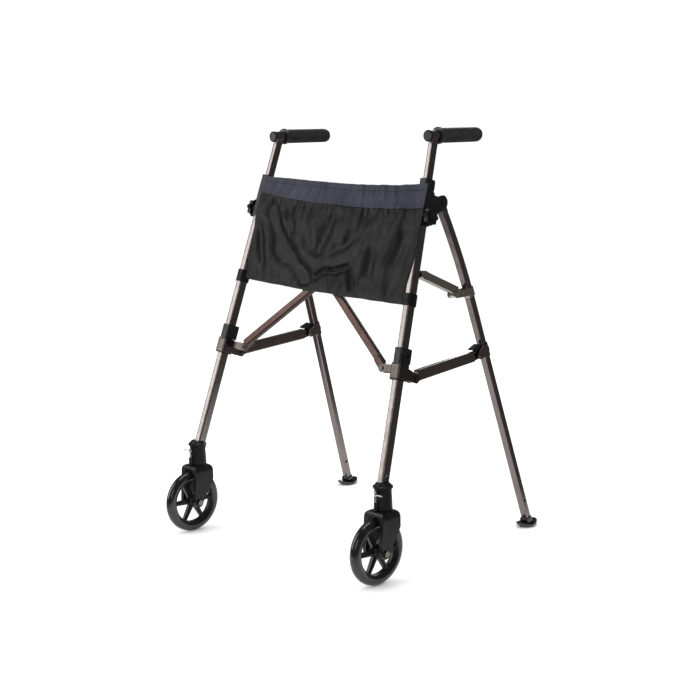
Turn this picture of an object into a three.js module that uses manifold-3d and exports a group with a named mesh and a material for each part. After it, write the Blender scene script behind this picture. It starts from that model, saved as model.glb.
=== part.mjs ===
// A two-wheel folding walker, in millimetres: +Z up, +X to the walker's right side, and -Y ahead of it.
// Two side frames are joined by an X brace, with a fabric pouch in front of it.
// Each side frame has a front leg with a caster, and a rear leg with a glide.
// Folding closes the brace like scissors: it draws the side frames together, the sliders go down the
// front legs, and the rear legs swing in.
// The origin is on the floor, in the middle of the walker's outline.
import * as THREE from "three";
import { mergeVertices } from "three/addons/utils/BufferGeometryUtils.js";
import Module from "manifold-3d";

const wasm = await Module();
wasm.setup();

// ---- Driving dimensions ----
const GAP = 0.3; // between pieces that touch
const OUTLINE_MIDDLE_Y = -20.951; // middle of the outline along Y, in the coordinates used below

// Front legs: both lie in one plane that slopes back, and each leans inwards in it
const FOOT_X = 319.6; // where a leg's axis meets the floor
const FOOT_Y = -327.4;
const SLOPE = THREE.MathUtils.degToRad(18.553);
const LEAN = THREE.MathUtils.degToRad(3.964);
const LEG_WIDTH = 18;
const LEG_DEPTH = 23;
const LEG_CORNER = 3.8;
const WALL = 1.5;
// Distances named W are measured up the leg's axis from the floor
const LEG_BOTTOM_W = 220;
const LEG_TOP_W = 912;

// X brace, in the plane of the front legs
const BRACE_HALF_SPAN = 230; // from the middle to each pin
const BRACE_LOW = 484.2; // up the sloping plane
const BRACE_HIGH = 860.7;
const BRACE_REAR = 11; // the pins' middle, behind the legs' axes
const ARM_DEPTH = 14;
const ARM_HEIGHT = 18;
const ARM_SPREAD = 7.6; // each arm's middle is this far before or behind the pins' middle
const TONGUE = 10; // thickness of each arm's end tongue
const PIN_RADIUS = 3.2;

// Handle
const HANDLE_W = 1021.4; // where the bar crosses the leg's axis
const HANDLE_TUBE_BOTTOM_W = 700;
const BAR_RADIUS = 12.5;
const BAR_FRONT = -20.4; // along the bar, from the leg's axis
const BAR_REAR = 157;

// Hub casting, star knob and top collar
const HUB_BOTTOM_W = 814;
const HUB_TOP_W = 898;
const COLLAR_BOTTOM_W = 898.4;
const COLLAR_TOP_W = 919;
const KNOB_W = 834;
const KNOB_RADIUS = 22;
const KNOB_LOBES = 8;
const HUB_PIVOT = [51.2, 880.4]; // rear leg's bolt, as [behind the leg's axis, W]

// Slider on the front leg, and its stop
const SLIDER_W = 481.6;
const SLIDER_HEIGHT = 32;
const SLIDER_PLAY = 3; // room on each side of the leg inside the slider's bushing
const STOP_W = 518;
const STOP_HEIGHT = 34;
const LINK_FRONT_PIN = [50.7, 474.8];
const LINK_REAR_PIN = [273.1, 569.7];

// Rear leg, in the front leg's frame
const REAR_WIDTH = 18;
const REAR_FOOT = [574, 207.9];
const REAR_BEND = [228.3, 677.4]; // where the straight part starts to curve forward

// Upper side link
const UPPER_PIN = [150.5, 689];
const UPPER_LINK_FRONT = [21, 708]; // tip of the link's rounded front end
const UPPER_LINK_RISE = THREE.MathUtils.degToRad(3.6); // the tube's slope, against square to the leg
const UPPER_LINK_HEIGHT = 20;

// Caster, upright
const STEM_X = 308;
const STEM_Y = -258;
const WHEEL_RADIUS = 76.2;
const TYRE_RADIUS = 14.5; // of the tyre's round section
const AXLE_LEAD = 22; // the axle is this far ahead of the stem
const CASTER_YAW = THREE.MathUtils.degToRad(-4); // both casters stand turned a little the same way
const FORK_TOP_Z = 167;
const FORK_HALF_WIDTH = 30.5;
const FORK_CHEEK = 10;
const STEM_BOTTOM_Z = 167.7;
const FLANGE_Z = 217;

// Pouch, in the plane of the front legs; its left side hangs higher than its right
const POUCH_BOTTOM = 611;
const POUCH_TOP = 868;
const POUCH_TILT = 8; // each side is this far above or below the middle's level
const POUCH_FRONT = -24;
const POUCH_BACK = -15.8;
const POUCH_SAG = 16;

// ---- Materials ----
function material(color, roughness, metalness) {
  return new THREE.MeshStandardMaterial({ color, roughness, metalness });
}
const walnutMetal = material(0x4a342d, 0.35, 0.85);
const blackPlastic = material(0x1b1b1d, 0.55, 0);
const blackRubber = material(0x151516, 0.4, 0);
const gripFoam = material(0x222226, 0.7, 0);
const steel = material(0xb8b4aa, 0.25, 1);
const fabric = material(0x29282c, 0.85, 0);

// ---- Solids ----
// A closed geometry as a manifold-3d solid.
function solid(geometry) {
  const bare = geometry.clone();
  bare.deleteAttribute("normal");
  bare.deleteAttribute("uv");
  const merged = mergeVertices(bare, 1e-4);
  const corners = merged.index.array;
  const faces = [];
  for (let i = 0; i < corners.length; i += 3) {
    const [p, q, r] = corners.slice(i, i + 3);
    if (p !== q && q !== r && r !== p) faces.push([p, q, r]);
  }
  const build = (triangles) =>
    new wasm.Manifold(
      new wasm.Mesh({
        numProp: 3,
        vertProperties: new Float32Array(merged.attributes.position.array),
        triVerts: new Uint32Array(triangles.flat()),
      }),
    );
  const made = build(faces);
  if (made.volume() > 0) return made;
  return build(faces.map(([p, q, r]) => [p, r, q]));
}

function join(...geometries) {
  const whole = geometries.map(solid).reduce((a, b) => a.add(b));
  return geometryOf(whole);
}

function cut(geometry, ...tools) {
  const left = tools.map(solid).reduce((a, b) => a.subtract(b), solid(geometry));
  return geometryOf(left);
}

function geometryOf(shape) {
  const mesh = shape.simplify(0.02).getMesh();
  const geometry = new THREE.BufferGeometry();
  geometry.setAttribute("position", new THREE.BufferAttribute(new Float32Array(mesh.vertProperties), 3));
  geometry.setIndex(new THREE.BufferAttribute(new Uint32Array(mesh.triVerts), 1));
  return geometry;
}

function piece(name, geometry, finish) {
  const clean = geometryOf(solid(geometry));
  clean.computeVertexNormals();
  const mesh = new THREE.Mesh(clean, finish);
  mesh.name = name;
  return mesh;
}

function box(width, depth, height, x, y, z) {
  return new THREE.BoxGeometry(width, depth, height).translate(x, y, z);
}

// A cylinder along one axis, "x", "y" or "z", centred at a point.
function rod(axis, radius, length, x, y, z, sides = 16) {
  const geometry = new THREE.CylinderGeometry(radius, radius, length, sides);
  if (axis === "x") geometry.rotateZ(Math.PI / 2);
  if (axis === "z") geometry.rotateX(Math.PI / 2);
  return geometry.translate(x, y, z);
}

// A rounded rectangle, centred on the origin.
function roundedOutline(width, depth, corner, Kind = THREE.Shape) {
  const x = width / 2;
  const y = depth / 2;
  const outline = new Kind();
  outline.moveTo(x, -y + corner);
  outline.lineTo(x, y - corner);
  outline.absarc(x - corner, y - corner, corner, 0, Math.PI / 2);
  outline.lineTo(-x + corner, y);
  outline.absarc(-x + corner, y - corner, corner, Math.PI / 2, Math.PI);
  outline.lineTo(-x, -y + corner);
  outline.absarc(-x + corner, -y + corner, corner, Math.PI, 1.5 * Math.PI);
  outline.lineTo(x - corner, -y);
  outline.absarc(x - corner, -y + corner, corner, 1.5 * Math.PI, 2 * Math.PI);
  return outline;
}

// A rounded bar along Z from low to high.
function bar(width, depth, corner, low, high, curveSegments = 2) {
  const outline = roundedOutline(width, depth, corner);
  const geometry = new THREE.ExtrudeGeometry(outline, {
    depth: high - low,
    bevelEnabled: false,
    curveSegments,
  });
  return geometry.translate(0, 0, low);
}

// A rounded tube along Z from low to high.
function tube(width, depth, corner, wall, low, high, curveSegments = 2) {
  const outline = roundedOutline(width, depth, corner);
  const inside = Math.max(corner - wall, 0.8);
  outline.holes.push(roundedOutline(width - 2 * wall, depth - 2 * wall, inside, THREE.Path));
  const geometry = new THREE.ExtrudeGeometry(outline, {
    depth: high - low,
    bevelEnabled: false,
    curveSegments,
  });
  return geometry.translate(0, 0, low);
}

// A plate with an outline in the YZ plane, between two places along X.
function sidePlate(outline, fromX, toX, curveSegments = 5) {
  const geometry = new THREE.ExtrudeGeometry(outline, {
    depth: toX - fromX,
    bevelEnabled: false,
    curveSegments,
  });
  // The outline's x becomes Y, its y becomes Z, and the depth becomes X.
  const turn = new THREE.Matrix4().makeBasis(
    new THREE.Vector3(0, 1, 0),
    new THREE.Vector3(0, 0, 1),
    new THREE.Vector3(1, 0, 0),
  );
  return geometry.applyMatrix4(turn).translate(fromX, 0, 0);
}

// A plate with an outline in the XZ plane, between two places along Y.
function frontPlate(outline, fromY, toY, curveSegments = 5) {
  const geometry = new THREE.ExtrudeGeometry(outline, {
    depth: toY - fromY,
    bevelEnabled: false,
    curveSegments,
  });
  return geometry.rotateX(Math.PI / 2).translate(0, toY, 0);
}

// An outline that wraps two circles: the shape of a link or a lug.
function lugOutline(x1, y1, r1, x2, y2, r2) {
  const along = Math.atan2(y2 - y1, x2 - x1);
  const lean = Math.acos((r1 - r2) / Math.hypot(x2 - x1, y2 - y1));
  const outline = new THREE.Shape();
  outline.absarc(x1, y1, r1, along + lean, along - lean + 2 * Math.PI);
  outline.absarc(x2, y2, r2, along - lean, along + lean);
  return outline;
}

// ---- Frames ----
// One front leg's frame: X' outwards, Y' behind, Z' up the leg's axis.
function sideFrame(sign) {
  const side = new THREE.Group();
  side.scale.x = sign;
  const plane = bracePlane();
  const leg = new THREE.Group();
  leg.position.x = FOOT_X;
  leg.rotation.y = -LEAN;
  plane.add(leg);
  side.add(plane);
  side.updateMatrixWorld(true);
  return { side, leg };
}

// The plane of both front legs: X across, Y behind, Z up the slope.
function bracePlane() {
  const plane = new THREE.Group();
  plane.position.y = FOOT_Y;
  plane.rotation.x = -SLOPE;
  plane.updateMatrixWorld(true);
  return plane;
}

const rightFrame = sideFrame(1);
const frontPlane = bracePlane();

// A point of the front legs' plane, in the right leg's frame.
function inLegFrame(x, y, z) {
  return rightFrame.leg.worldToLocal(frontPlane.localToWorld(new THREE.Vector3(x, y, z)));
}
const highPin = inLegFrame(BRACE_HALF_SPAN, BRACE_REAR, BRACE_HIGH);
const lowPin = inLegFrame(BRACE_HALF_SPAN, BRACE_REAR, BRACE_LOW);

// ---- Front leg and what sits on it ----
function legOpening(low, high) {
  return bar(LEG_WIDTH + 2 * GAP, LEG_DEPTH + 2 * GAP, LEG_CORNER, low - 1, high + 1);
}

function frontLegTube() {
  const whole = tube(LEG_WIDTH, LEG_DEPTH, LEG_CORNER, WALL, LEG_BOTTOM_W, LEG_TOP_W);
  const buttonHole = rod("x", 3.5, 8, LEG_WIDTH / 2, 0, LEG_BOTTOM_W + 27.5, 12);
  return cut(whole, buttonHole);
}

// Two cheeks, one behind the other, that hold a tongue of the brace by its pin.
function braceCheeks(pin, rootX, radius, bored) {
  return [-1, 1].map((side) => {
    const inner = pin.y + side * (TONGUE / 2 + 0.5);
    const outer = inner + side * 2.2;
    const outline = lugOutline(pin.x, pin.z, radius, rootX, pin.z, radius - 1.6);
    const plate = frontPlate(outline, Math.min(inner, outer), Math.max(inner, outer));
    if (!bored) return plate;
    return cut(plate, rod("y", PIN_RADIUS + GAP, 8, pin.x, (inner + outer) / 2, pin.z));
  });
}

// Pairs of cheeks on both sides of the leg's own plane.
function sideCheeks(outline, inner, outer, bores) {
  return [-1, 1].map((side) => {
    const [from, to] = [side * inner, side * outer].sort((a, b) => a - b);
    const plate = sidePlate(outline, from, to, 6);
    const tools = bores.map(([y, z, radius]) => rod("x", radius, 8, (from + to) / 2, y, z));
    return cut(plate, ...tools);
  });
}

function hubCasting() {
  const sleeve = bar(25.5, 30.5, 5.5, HUB_BOTTOM_W, HUB_TOP_W);
  const rearRib = sidePlate(lugOutline(15, HUB_TOP_W - 10, 8, 12, HUB_TOP_W - 32, 9), -8, 8);
  const lobe = lugOutline(...HUB_PIVOT, 16, 8, HUB_PIVOT[1] - 26, 20);
  const cheeks = sideCheeks(lobe, REAR_WIDTH / 2 + 0.5, 12.4, [[...HUB_PIVOT, 4.4 + GAP]]);
  const boss = rod("x", 14, 5, 14.2, 0, KNOB_W, 24);
  const armPin = rod("y", PIN_RADIUS, TONGUE + 9, highPin.x, highPin.y, highPin.z);
  const whole = join(sleeve, rearRib, ...cheeks, boss, armPin, ...braceCheeks(highPin, -10, 9.5, false));
  const knobBore = rod("x", 4 + GAP, 14, 14, 0, KNOB_W);
  return cut(whole, legOpening(HUB_BOTTOM_W, HUB_TOP_W), knobBore);
}

function topCollar() {
  const middle = (COLLAR_BOTTOM_W + COLLAR_TOP_W) / 2;
  const ring = bar(25, 30.5, 6, COLLAR_BOTTOM_W, COLLAR_TOP_W);
  const lug = box(10, 10, COLLAR_TOP_W - COLLAR_BOTTOM_W, 0, 17, middle);
  const handleHole = bar(15, 20, 2.8, COLLAR_BOTTOM_W - 1, COLLAR_TOP_W + 1);
  return cut(join(ring, lug), legOpening(COLLAR_BOTTOM_W, LEG_TOP_W - 1 + GAP), handleHole);
}

// Lobed disc with a bolt that reaches the hub's wall.
function starKnob() {
  const outline = new THREE.Shape();
  const steps = KNOB_LOBES * 5;
  for (let i = 0; i < steps; i++) {
    const angle = (2 * Math.PI * i) / steps;
    const radius = KNOB_RADIUS - 2.2 + 2.2 * Math.cos(KNOB_LOBES * angle);
    const point = [radius * Math.cos(angle), radius * Math.sin(angle)];
    if (i === 0) outline.moveTo(...point);
    else outline.lineTo(...point);
  }
  outline.closePath();
  const disc = sidePlate(outline, 19, 29);
  const dome = rod("x", 11, 3, 29.8, 0, 0, 24);
  const bolt = rod("x", 4, 11, 15.2, 0, 0);
  return join(disc, dome, bolt).translate(0, 0, KNOB_W);
}

function stopCollar() {
  const low = STOP_W - STOP_HEIGHT / 2;
  const high = STOP_W + STOP_HEIGHT / 2;
  const ring = bar(26, 30, 6.5, low, high);
  const lug = box(22, 11, STOP_HEIGHT, 0, 15, STOP_W);
  const screwRecess = rod("x", 3.6, 4, 12, 6, STOP_W, 16);
  return cut(join(ring, lug), legOpening(low, high), screwRecess);
}

function sliderBushing() {
  const half = SLIDER_HEIGHT / 2;
  const core = bar(27, 29, 5, SLIDER_W - half - 3, SLIDER_W + half + 3);
  const topRim = bar(30, 32.4, 6, SLIDER_W + half + GAP, SLIDER_W + half + 3);
  const lowRim = bar(30, 32.4, 6, SLIDER_W - half - 3, SLIDER_W - half - GAP);
  const room = LEG_WIDTH + 2 * SLIDER_PLAY;
  const hole = bar(room, LEG_DEPTH + 1.2, LEG_CORNER, SLIDER_W - 30, SLIDER_W + 30);
  return cut(join(core, topRim, lowRim), hole);
}

// Strap round the bushing, with one pair of cheeks for the brace and one for the side link.
function sliderBracket() {
  const half = SLIDER_HEIGHT / 2;
  const strap = bar(31, 33.6, 6.5, SLIDER_W - half, SLIDER_W + half);
  const outline = lugOutline(...LINK_FRONT_PIN, 10, 6, SLIDER_W - 1, 14);
  const linkCheeks = sideCheeks(outline, 8.5, 10.5, [[...LINK_FRONT_PIN, PIN_RADIUS + GAP]]);
  const whole = join(strap, ...linkCheeks, ...braceCheeks(lowPin, -11, 9.6, true));
  return cut(whole, bar(27.6, 29.6, 5.3, SLIDER_W - 60, SLIDER_W + 60));
}

// A riveted pin along one axis, with a head at each end.
function rivet(axis, radius, grip, x, y, z) {
  const head = 1.8;
  const offset = grip / 2 + GAP + head / 2;
  const shank = rod(axis, radius, grip + 2 * GAP + head, x, y, z, 14);
  const step = { x: [1, 0, 0], y: [0, 1, 0], z: [0, 0, 1] }[axis];
  const heads = [-offset, offset].map((shift) => {
    const [dx, dy, dz] = step.map((value) => value * shift);
    return rod(axis, radius + 2, head, x + dx, y + dy, z + dz, 14);
  });
  return join(shank, ...heads);
}

// ---- Handle ----
// Moves a piece from axes along the handle bar, centred on the leg, to the leg's frame.
function onHandle(geometry) {
  return geometry.rotateX(SLOPE).translate(0, 0, HANDLE_W);
}

function handleTube() {
  const column = bar(14, 19, 2.6, HANDLE_TUBE_BOTTOM_W, HANDLE_W);
  const length = BAR_REAR - BAR_FRONT;
  const bridge = onHandle(rod("y", BAR_RADIUS, length, 0, (BAR_REAR + BAR_FRONT) / 2, 0, 28));
  return join(column, bridge);
}

// A turned piece about the handle bar's axis, from [radius, along] points.
function turnedOnBar(points) {
  const profile = points.map(([radius, along]) => new THREE.Vector2(radius, along));
  return onHandle(new THREE.LatheGeometry(profile, 28));
}

function handleCap() {
  const front = BAR_FRONT - GAP;
  return turnedOnBar([
    [0, front - 4],
    [10.8, front - 4],
    [13, front - 2.6],
    [13.4, front],
    [0, front],
  ]);
}

function grip() {
  const bore = BAR_RADIUS + GAP;
  return turnedOnBar([
    [bore, 11],
    [18.6, 11],
    [19.5, 14],
    [19, 18],
    [17, 21],
    [17, 151],
    [15.6, 160],
    [11, 166],
    [0, 168],
    [0, BAR_REAR + GAP],
    [bore, BAR_REAR + GAP],
    [bore, 11],
  ]);
}

// ---- Rear leg ----
const rearSlope = Math.atan2(REAR_FOOT[0] - REAR_BEND[0], REAR_BEND[1] - REAR_FOOT[1]);

// A straight line up from the glide, then an arc that leaves it smoothly and heads for the hub's bolt.
class RearLegCurve extends THREE.Curve {
  constructor() {
    super();
    this.foot = new THREE.Vector2(...REAR_FOOT);
    this.bend = new THREE.Vector2(...REAR_BEND);
    const chord = new THREE.Vector2(...HUB_PIVOT).sub(this.bend);
    const halfTurn = Math.atan2(-chord.x, chord.y) - rearSlope;
    this.radius = chord.length() / (2 * Math.sin(halfTurn));
    this.straight = this.bend.distanceTo(this.foot);
    this.arc = 2 * halfTurn * this.radius - 12; // the plug covers the last stretch
  }

  getPoint(t) {
    const s = t * (this.straight + this.arc);
    if (s < this.straight) {
      const p = this.foot.clone().lerp(this.bend, s / this.straight);
      return new THREE.Vector3(0, p.x, p.y);
    }
    const turned = rearSlope + (s - this.straight) / this.radius;
    return new THREE.Vector3(
      0,
      this.bend.x + this.radius * (Math.cos(turned) - Math.cos(rearSlope)),
      this.bend.y + this.radius * (Math.sin(turned) - Math.sin(rearSlope)),
    );
  }
}

function rearLegTube() {
  const outline = roundedOutline(REAR_WIDTH, REAR_WIDTH, 3);
  const inside = REAR_WIDTH - 2 * WALL;
  outline.holes.push(roundedOutline(inside, inside, 1.5, THREE.Path));
  const curve = new RearLegCurve();
  const leg = new THREE.ExtrudeGeometry(outline, {
    steps: 18,
    extrudePath: curve,
    curveSegments: 2,
  });
  const end = curve.getPoint(0.985);
  const half = REAR_WIDTH / 2;
  const plug = sidePlate(lugOutline(...HUB_PIVOT, half, end.y, end.z, half - WALL / 2), -half, half);
  const bore = rod("x", 4.4 + GAP, 30, 0, ...HUB_PIVOT);
  const hole = rod("x", 3.5, 30, 0, ...alongRearLeg(58), 12);
  return cut(join(leg, plug), bore, hole);
}

// A point on the straight part of the rear leg, this far up from its foot.
function alongRearLeg(distance) {
  return [
    REAR_FOOT[0] - distance * Math.sin(rearSlope),
    REAR_FOOT[1] + distance * Math.cos(rearSlope),
  ];
}

function onRearLeg(geometry, [y, z], lean = rearSlope) {
  return geometry.rotateX(lean).translate(0, y, z);
}

function rearLegOpening(centre, lean) {
  const room = REAR_WIDTH + 2 * GAP;
  return onRearLeg(bar(room, room, 3, -70, 70), centre, lean);
}

function lowerRearBracket() {
  const centre = alongRearLeg(470);
  const clamp = onRearLeg(bar(REAR_WIDTH + 4.6, REAR_WIDTH + 4.6, 5, -17, 17), centre);
  const outline = lugOutline(...LINK_REAR_PIN, 9.4, centre[0] - 4, centre[1] - 1, 14);
  const cheeks = sideCheeks(outline, 9.2, 11.3, []);
  const heads = [-12, 12].map((x) => rod("x", 5.2, 2, x, ...LINK_REAR_PIN));
  // The strap is open in front, where the link's end swings.
  const front = onRearLeg(box(REAR_WIDTH, 8, 60, 0, -REAR_WIDTH / 2 - 3, 0), centre);
  return cut(join(clamp, ...cheeks, ...heads), rearLegOpening(centre), front);
}

function upperRearBracket() {
  const lean = rearSlope + 0.03;
  const centre = alongRearLeg(621);
  centre[0] -= 0.4;
  const clamp = onRearLeg(bar(REAR_WIDTH + 4.6, REAR_WIDTH + 4.6, 5, -11, 11), centre, lean);
  const outline = lugOutline(...UPPER_PIN, 8, centre[0] - 8, centre[1] - 2, 9);
  const cheeks = sideCheeks(outline, 9.2, 11.3, [[...UPPER_PIN, PIN_RADIUS + GAP]]);
  const spacer = rod("x", 2.9, 24.6, 0, centre[0] - 31.3, centre[1] - 10.5, 12);
  return cut(join(clamp, ...cheeks, spacer), rearLegOpening(centre, lean));
}

// ---- Side links ----
// A box-section tube between two points of the side frame's plane.
function linkTube(from, to, width, height) {
  const [dy, dz] = [to[0] - from[0], to[1] - from[1]];
  const geometry = bar(width, height, 2.8, 0, Math.hypot(dy, dz));
  geometry.rotateX(-Math.PI / 2); // along Y
  geometry.rotateX(Math.atan2(dz, dy));
  return geometry.translate(0, ...from);
}

function sideLink() {
  const [front, rear] = [LINK_FRONT_PIN, LINK_REAR_PIN];
  const angle = Math.atan2(rear[1] - front[1], rear[0] - front[0]);
  const along = (point, distance, rise) => [
    point[0] + distance * Math.cos(angle) - rise * Math.sin(angle),
    point[1] + distance * Math.sin(angle) + rise * Math.cos(angle),
  ];
  const body = linkTube(along(front, 15, 5), along(rear, -20, 1.4), 16, 25);
  const frontPlug = lugOutline(...front, 8.2, ...along(front, 24, 4), 10);
  const rearPlug = lugOutline(...rear, 7.6, ...along(rear, -28, 0), 11);
  const plugs = [sidePlate(frontPlug, -7.8, 7.8), sidePlate(rearPlug, -5.4, 5.4)];
  return cut(join(body, ...plugs), rod("x", PIN_RADIUS + GAP, 30, 0, ...front));
}

// Catch over the lower link's rear end, drawn upright about the link's pin.
function latchLever() {
  const outline = new THREE.Shape();
  outline.moveTo(-24, 15);
  outline.lineTo(4, 15);
  outline.lineTo(5, 24);
  outline.lineTo(0, 27);
  outline.lineTo(-24, 18.5);
  outline.closePath();
  return sidePlate(outline, -7, 7).rotateX(SLOPE).translate(0, ...LINK_REAR_PIN);
}

// Upper link: its rounded front end rests behind the front leg, and its rear end turns on a pin.
function upperLink() {
  const half = UPPER_LINK_HEIGHT / 2;
  const [tip, tipHeight] = UPPER_LINK_FRONT;
  const middleAt = (y) => [y, tipHeight - (y - tip) * Math.tan(UPPER_LINK_RISE)];
  const body = linkTube(middleAt(tip + half), middleAt(UPPER_PIN[0] + 6), 16, UPPER_LINK_HEIGHT);
  const nose = sidePlate(lugOutline(...middleAt(tip + half), half, ...middleAt(tip + 24), half - 1), -7.8, 7.8);
  const lug = sidePlate(
    lugOutline(...UPPER_PIN, 7, UPPER_PIN[0], UPPER_PIN[1] + 12, 8),
    -7.8,
    7.8,
  );
  const pinBore = rod("x", PIN_RADIUS + GAP, 40, 0, ...UPPER_PIN);
  return cut(join(body, nose, lug), pinBore);
}

// Pin through the upper bracket's cheeks.
function upperLinkPin() {
  return rivet("x", PIN_RADIUS, 22.6, 0, ...UPPER_PIN);
}

// Plate on the leg's inner face, with a stop under the upper link's front end.
function upperLinkCatch() {
  const [y, z] = UPPER_LINK_FRONT;
  const face = -(LEG_WIDTH / 2 + 0.4);
  const plate = sidePlate(lugOutline(-1, z, 9, y + 6, z - 1, 8), face - 3.2, face);
  const stop = rod("x", 2.2, 7, face + 1.5, y + 1, z - 13);
  const arm = sidePlate(lugOutline(4, z - 6, 4, y + 1, z - 13, 3.4), face - 3.2, face);
  const screw = rod("x", 3.4, 1.4, face - 3.8, -1, z, 14);
  return join(plate, arm, stop, screw);
}

// ---- Glide: a dished ski with a post inside the rear leg ----
function glideFoot() {
  const post = onRearLeg(bar(14.2, 14.2, 1.2, -9, 28), REAR_FOOT);
  post.applyMatrix4(rightFrame.leg.matrixWorld);
  const ankle = new THREE.Vector3(0, ...REAR_FOOT).applyMatrix4(rightFrame.leg.matrixWorld);
  const outline = new THREE.Shape();
  outline.absellipse(0, 0, 20.5, 30.5, 0, 2 * Math.PI);
  const sole = new THREE.ExtrudeGeometry(outline, {
    depth: 3,
    bevelThickness: 3,
    bevelSize: 2,
    bevelSegments: 2,
    curveSegments: 12,
    steps: 1,
  });
  sole.translate(ankle.x, ankle.y - 1, 3);
  const below = box(120, 120, 40, ankle.x, ankle.y, -20);
  return cut(join(sole, post), below);
}

// ---- Caster, upright in the walker's own axes ----
// A frame turned by yaw about the caster's stem.
function casterFrame(yaw) {
  const swivel = new THREE.Group();
  swivel.position.set(STEM_X, STEM_Y, 0);
  swivel.rotation.z = yaw;
  const inner = new THREE.Group();
  inner.position.set(-STEM_X, -STEM_Y, 0);
  swivel.add(inner);
  return { swivel, inner };
}

function casterSocket() {
  const profile = [
    [0, STEM_BOTTOM_Z],
    [21, STEM_BOTTOM_Z],
    [19, FLANGE_Z - 3],
    [22.5, FLANGE_Z - 2],
    [22.5, FLANGE_Z + 2],
    [19.5, FLANGE_Z + 4],
    [15, FLANGE_Z + 9],
    [0, FLANGE_Z + 9],
  ].map(([radius, height]) => new THREE.Vector2(radius, height));
  const stem = new THREE.LatheGeometry(profile, 32).rotateX(Math.PI / 2).translate(STEM_X, STEM_Y, 0);
  const sleeve = bar(24, 29, 5, LEG_BOTTOM_W - 8, LEG_BOTTOM_W + 16);
  sleeve.applyMatrix4(rightFrame.leg.matrixWorld);
  const guide = rod("z", 5, 18, STEM_X, STEM_Y - 23, STEM_BOTTOM_Z + 9, 16);
  const pocket = legOpening(LEG_BOTTOM_W + 0.7, LEG_BOTTOM_W + 80);
  pocket.applyMatrix4(rightFrame.leg.matrixWorld);
  const pinBore = rod("z", 2.6, 120, STEM_X, STEM_Y - 23.5, STEM_BOTTOM_Z + 20, 12);
  const window = box(20, 9, 16, STEM_X, STEM_Y - 20, STEM_BOTTOM_Z + 29);
  return cut(join(stem, sleeve, guide), pocket, pinBore, window);
}

function lockPin() {
  const pin = rod("z", 2, 44, STEM_X, STEM_Y - 23.5, STEM_BOTTOM_Z + 22.3, 12);
  const lever = rod("x", 1.5, 20, STEM_X + 9, STEM_Y - 24, STEM_BOTTOM_Z + 28, 10);
  return join(pin, lever);
}

// Inverted U with round shoulders: a side profile, cut to the arch's outline and hollowed.
function casterFork(yaw) {
  const axle = { y: STEM_Y - AXLE_LEAD, z: WHEEL_RADIUS };
  const top = FORK_TOP_Z;
  const profile = new THREE.Shape();
  profile.absarc(axle.y, axle.z, 12.5, Math.PI, 2 * Math.PI);
  profile.lineTo(STEM_Y + 23, top - 38);
  profile.absarc(STEM_Y + 13, top - 10, 10, 0, Math.PI / 2);
  profile.absarc(STEM_Y - 19, top - 10, 10, Math.PI / 2, Math.PI);
  profile.closePath();
  const block = sidePlate(profile, STEM_X - FORK_HALF_WIDTH, STEM_X + FORK_HALF_WIDTH);
  const arch = new THREE.Shape();
  arch.moveTo(-FORK_HALF_WIDTH, 40);
  arch.lineTo(FORK_HALF_WIDTH, 40);
  arch.absarc(FORK_HALF_WIDTH - 17, top - 17, 17, 0, Math.PI / 2);
  arch.absarc(17 - FORK_HALF_WIDTH, top - 17, 17, Math.PI / 2, Math.PI);
  arch.closePath();
  const outside = frontPlate(arch, -60, 60).translate(STEM_X, STEM_Y, 0);
  const half = FORK_HALF_WIDTH - FORK_CHEEK;
  const gap = new THREE.Shape();
  gap.moveTo(-half, 20);
  gap.lineTo(half, 20);
  gap.absellipse(0, top - 29, half, 19.5, 0, Math.PI);
  gap.closePath();
  const inside = frontPlate(gap, -90, 90).translate(STEM_X, STEM_Y, 0);
  const rounded = geometryOf(solid(block).intersect(solid(outside)));
  const axleBore = rod("x", 4 + GAP, 90, STEM_X, axle.y, axle.z);
  const pinHoles = [0, 1, 2, 3].map((quarter) => {
    const angle = (quarter * Math.PI) / 2 - yaw;
    return rod("z", 2.6, 18, STEM_X + 23.5 * Math.sin(angle), STEM_Y - 23.5 * Math.cos(angle), top);
  });
  return cut(rounded, inside, axleBore, ...pinHoles);
}

function wheelPlace(geometry) {
  return geometry.translate(STEM_X, STEM_Y - AXLE_LEAD, WHEEL_RADIUS);
}

function latheOnAxle(points, segments) {
  const profile = points.map(([radius, along]) => new THREE.Vector2(radius, along));
  return new THREE.LatheGeometry(profile, segments).rotateZ(-Math.PI / 2);
}

// The tyre's middle circle, and the rim's seat in it.
const TYRE_MIDDLE = WHEEL_RADIUS - TYRE_RADIUS;
const SEAT_RADIUS = TYRE_MIDDLE - 4;
const SEAT_HALF = 9;

function tyre() {
  const steps = 12;
  const points = Array.from({ length: steps + 1 }, (_, i) => {
    const angle = (2 * Math.PI * (i % steps)) / steps;
    return [TYRE_MIDDLE + TYRE_RADIUS * Math.cos(angle), TYRE_RADIUS * Math.sin(angle)];
  });
  const seat = rod("x", SEAT_RADIUS, 2 * SEAT_HALF, 0, 0, 0, 40);
  return wheelPlace(cut(latheOnAxle(points, 40), seat));
}

function wheel() {
  const rimInner = TYRE_MIDDLE - TYRE_RADIUS - 3.5;
  const rim = rod("x", SEAT_RADIUS - 0.5, 2 * SEAT_HALF - 1, 0, 0, 0, 40);
  const opening = rod("x", rimInner, 40, 0, 0, 0, 40);
  const hub = latheOnAxle(
    [
      [0, -19],
      [8, -19],
      [11.5, -9],
      [11.5, 9],
      [8, 19],
      [0, 19],
    ],
    24,
  );
  const spokes = Array.from({ length: 6 }, (_, i) => {
    const spoke = new THREE.Shape();
    spoke.moveTo(-6, 6);
    spoke.lineTo(6, 6);
    spoke.lineTo(3.6, rimInner + 2);
    spoke.lineTo(-3.6, rimInner + 2);
    spoke.closePath();
    return sidePlate(spoke, -6, 6).rotateX((i * Math.PI) / 3 + Math.PI / 6);
  });
  const bore = rod("x", 4 + GAP, 60, 0, 0, 0);
  return wheelPlace(cut(join(cut(rim, opening), hub, ...spokes), bore));
}

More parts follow.
